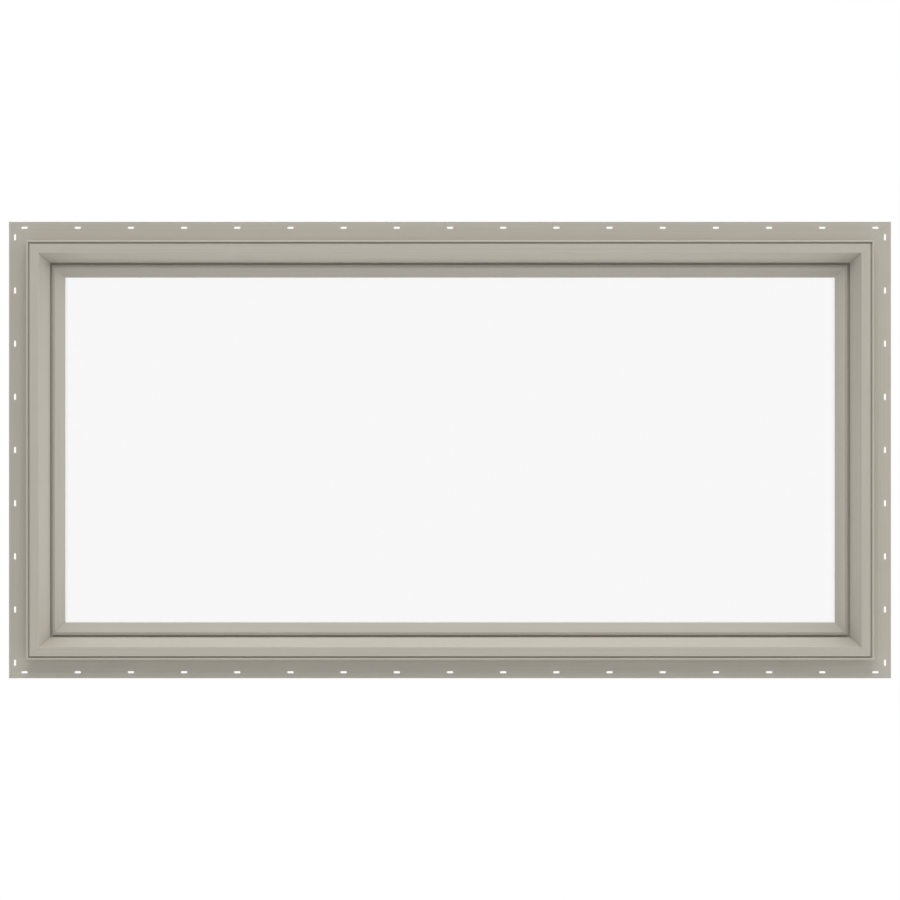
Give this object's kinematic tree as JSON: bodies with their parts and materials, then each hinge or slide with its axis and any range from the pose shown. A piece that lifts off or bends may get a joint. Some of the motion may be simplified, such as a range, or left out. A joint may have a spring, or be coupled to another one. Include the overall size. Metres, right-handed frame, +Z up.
{
  "type": "fixed picture window with nail fin",
  "caption": "Fixed picture window for new construction: hollow vinyl frame with a slotted nail fin all round, snap-in glazing beads and a sealed double glazed unit.",
  "frame": {"origin": "on the back of the sill's nail fin, halfway along it and halfway across it", "axes": "+X to the right seen from outdoors, +Y into the building, square to the glass, +Z up"},
  "size_m": [1.2636, 0.0825, 0.6541],
  "materials": {
    "frame_vinyl": "extruded, low gloss",
    "bead_vinyl": "extruded, low gloss",
    "gasket": "soft, matt",
    "glazing_tape": "closed-cell foam",
    "spacer_metal": "mill",
    "spacer_key": "moulded",
    "glass": "clear float",
    "edge_seal": "matt sealant",
    "glazing_block": "matt"
  },
  "bodies": {
    "root": {"frame_head": "frame_vinyl", "frame_sill": "frame_vinyl", "frame_jamb_left": "frame_vinyl", "frame_jamb_right": "frame_vinyl", "glazing_bead_head": "bead_vinyl", "glazing_bead_sill": "bead_vinyl", "glazing_bead_jamb_left": "bead_vinyl", "glazing_bead_jamb_right": "bead_vinyl", "bead_gasket_head": "gasket", "bead_gasket_sill": "gasket", "bead_gasket_jamb_left": "gasket", "bead_gasket_jamb_right": "gasket", "glazing_tape_head": "glazing_tape", "glazing_tape_sill": "glazing_tape", "glazing_tape_jamb_left": "glazing_tape", "glazing_tape_jamb_right": "glazing_tape", "spacer_head": "spacer_metal", "spacer_sill": "spacer_metal", "spacer_jamb_left": "spacer_metal", "spacer_jamb_right": "spacer_metal", "spacer_key_top_left": "spacer_key", "spacer_key_top_right": "spacer_key", "spacer_key_bottom_left": "spacer_key", "spacer_key_bottom_right": "spacer_key", "glass_outer_lite": "glass", "glass_inner_lite": "glass", "edge_seal": "edge_seal", "setting_block_left": "glazing_block", "setting_block_right": "glazing_block", "side_block_left": "glazing_block", "side_block_right": "glazing_block"}
  },
  "joints": []
}
